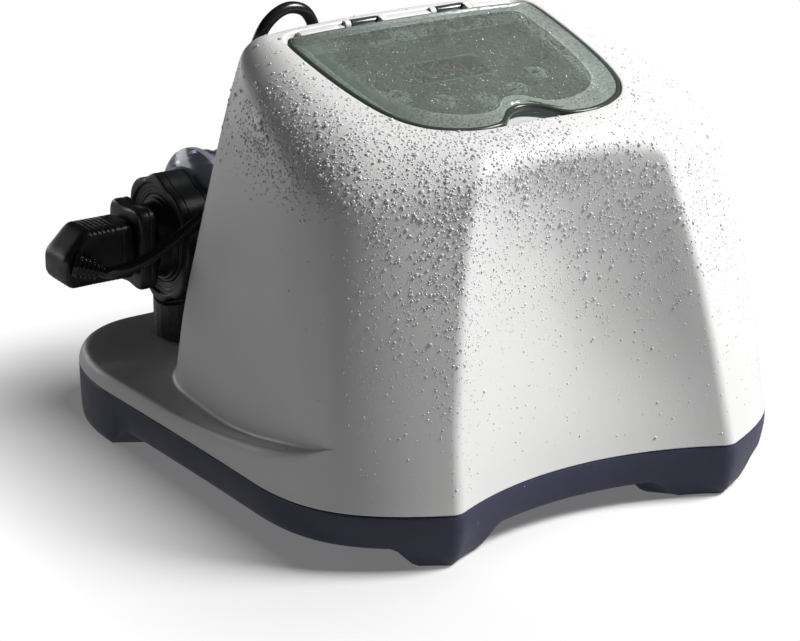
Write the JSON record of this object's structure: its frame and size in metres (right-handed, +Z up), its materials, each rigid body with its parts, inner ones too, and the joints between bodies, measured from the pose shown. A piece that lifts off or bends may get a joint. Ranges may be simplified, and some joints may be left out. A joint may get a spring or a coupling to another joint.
{
  "type": "salt chlorine generator",
  "caption": "Free-standing pool salt chlorine generator: tapered white housing on a footed tray, smoky hinged lid over a control panel, and a flow-through electrolytic cell on the rear deck.",
  "frame": {"origin": "centre of the bounding box at floor level", "axes": "+Z up, -Y towards the front panel, +X to the right seen from the front; the cell lies along X on the rear deck"},
  "size_m": [0.3866, 0.413, 0.2919],
  "materials": {
    "white_plastic": "satin white moulded plastic",
    "navy_plastic": "satin dark navy moulded plastic",
    "smoky_lid": "smoky clear polycarbonate",
    "panel_plastic": "dark grey membrane panel",
    "window_plastic": "dark tinted display window",
    "button_plastic": "light grey push-button cap",
    "black_plastic": "black glass-filled plastic, fine texture",
    "black_rubber": "black flexible cord sheath and boots",
    "seal_rubber": "black elastomer seal",
    "cell_plastic": "smoky blue-grey clear plastic",
    "titanium": "coated titanium sheet, dull grey",
    "board_green": "green solder-masked board",
    "steel": "bright steel pin",
    "aluminium": "extruded aluminium",
    "brass": "plated brass contact",
    "copper": "enamelled copper wire",
    "iron": "laminated core steel",
    "component_blue": "blue component sleeve",
    "component_black": "black component body",
    "terminal_green": "green terminal block",
    "display_grey": "grey display module"
  },
  "bodies": {
    "housing": {"base_tray": "navy_plastic", "capacitor": "component_blue", "cell_cap": "black_plastic", "cell_chamber": "cell_plastic", "cell_cord": "black_rubber", "cell_cradle_left": "black_plastic", "cell_cradle_right": "black_plastic", "cell_gland": "black_rubber", "cell_o_ring": "seal_rubber", "contact_pin_1": "brass", "contact_pin_2": "brass", "control_panel": "panel_plastic", "digit_display": "display_grey", "display_board": "board_green", "display_window": "window_plastic", "electrode_plate_1": "titanium", "electrode_plate_2": "titanium", "electrode_plate_3": "titanium", "electrode_plate_4": "titanium", "flow_flap_pin": "steel", "flow_sensor": "black_plastic", "heat_sink": "aluminium", "hinge_strip": "white_plastic", "inlet_o_ring": "seal_rubber", "lid_hinge_pin_left": "steel", "lid_hinge_pin_right": "steel", "main_board": "board_green", "mains_blade_1": "brass", "mains_blade_2": "brass", "mains_gland": "black_rubber", "mains_plug": "black_plastic", "mains_plug_boot": "black_rubber", "outlet_o_ring": "seal_rubber", "power_cord": "black_rubber", "relay": "component_blue", "sensor_cord": "black_rubber", "sensor_gland": "black_rubber", "sensor_o_ring": "seal_rubber", "switch_boost": "component_black", "switch_clean": "component_black", "switch_lock": "component_black", "switch_power": "component_black", "switch_timer": "component_black", "terminal_block": "terminal_green", "transformer_core": "iron", "transformer_winding": "copper", "upper_housing": "white_plastic"},
    "lid": {"lid": "smoky_lid"},
    "cell_union_nut": {"cell_union_nut": "black_plastic"},
    "sensor_union_nut": {"sensor_union_nut": "black_plastic"},
    "inlet_hose_nut": {"inlet_hose_nut": "black_plastic"},
    "outlet_hose_nut": {"outlet_hose_nut": "black_plastic"},
    "flow_flap": {"flow_flap": "black_plastic"},
    "cell_plug": {"cell_plug": "black_plastic", "plug_boot": "black_rubber"},
    "button_power": {"button_power": "button_plastic"},
    "button_lock": {"button_lock": "button_plastic"},
    "button_timer": {"button_timer": "button_plastic"},
    "button_boost": {"button_boost": "button_plastic"},
    "button_clean": {"button_clean": "button_plastic"}
  },
  "joints": [
    {"name": "lid_hinge", "type": "hinge", "parent": "housing", "child": "lid", "pos_m": [0.00666, 0.01412, 0.2784], "axis": [-1, 0, 0], "range_deg": [0, 100]},
    {"name": "button_power_press", "type": "slide", "parent": "housing", "child": "button_power", "axis": [0, 0.2156, -0.9765], "range_m": [0, 0.0008]},
    {"name": "button_lock_press", "type": "slide", "parent": "housing", "child": "button_lock", "axis": [0, 0.2156, -0.9765], "range_m": [0, 0.0008]},
    {"name": "button_timer_press", "type": "slide", "parent": "housing", "child": "button_timer", "axis": [0, 0.2156, -0.9765], "range_m": [0, 0.0008]},
    {"name": "button_boost_press", "type": "slide", "parent": "housing", "child": "button_boost", "axis": [0, 0.2156, -0.9765], "range_m": [0, 0.0008]},
    {"name": "button_clean_press", "type": "slide", "parent": "housing", "child": "button_clean", "axis": [0, 0.2156, -0.9765], "range_m": [0, 0.0008]},
    {"name": "cell_union_nut_spin", "type": "hinge", "parent": "housing", "child": "cell_union_nut", "pos_m": [-0.10634, 0.12652, 0.119], "axis": [-1, 0, 0], "continuous": true},
    {"name": "sensor_union_nut_spin", "type": "hinge", "parent": "housing", "child": "sensor_union_nut", "pos_m": [0.11966, 0.12652, 0.119], "axis": [1, 0, 0], "continuous": true},
    {"name": "inlet_hose_nut_spin", "type": "hinge", "parent": "housing", "child": "inlet_hose_nut", "pos_m": [0.05266, 0.19452, 0.119], "axis": [0, 1, 0], "continuous": true},
    {"name": "outlet_hose_nut_spin", "type": "hinge", "parent": "housing", "child": "outlet_hose_nut", "pos_m": [-0.03934, 0.19452, 0.119], "axis": [0, 1, 0], "continuous": true},
    {"name": "flow_flap_swing", "type": "hinge", "parent": "housing", "child": "flow_flap", "pos_m": [0.03866, 0.12652, 0.146], "axis": [0, 1, 0], "range_deg": [0, 30]},
    {"name": "cell_plug_pull", "type": "slide", "parent": "housing", "child": "cell_plug", "axis": [-1, 0, 0], "range_m": [0, 0.022]}
  ]
}
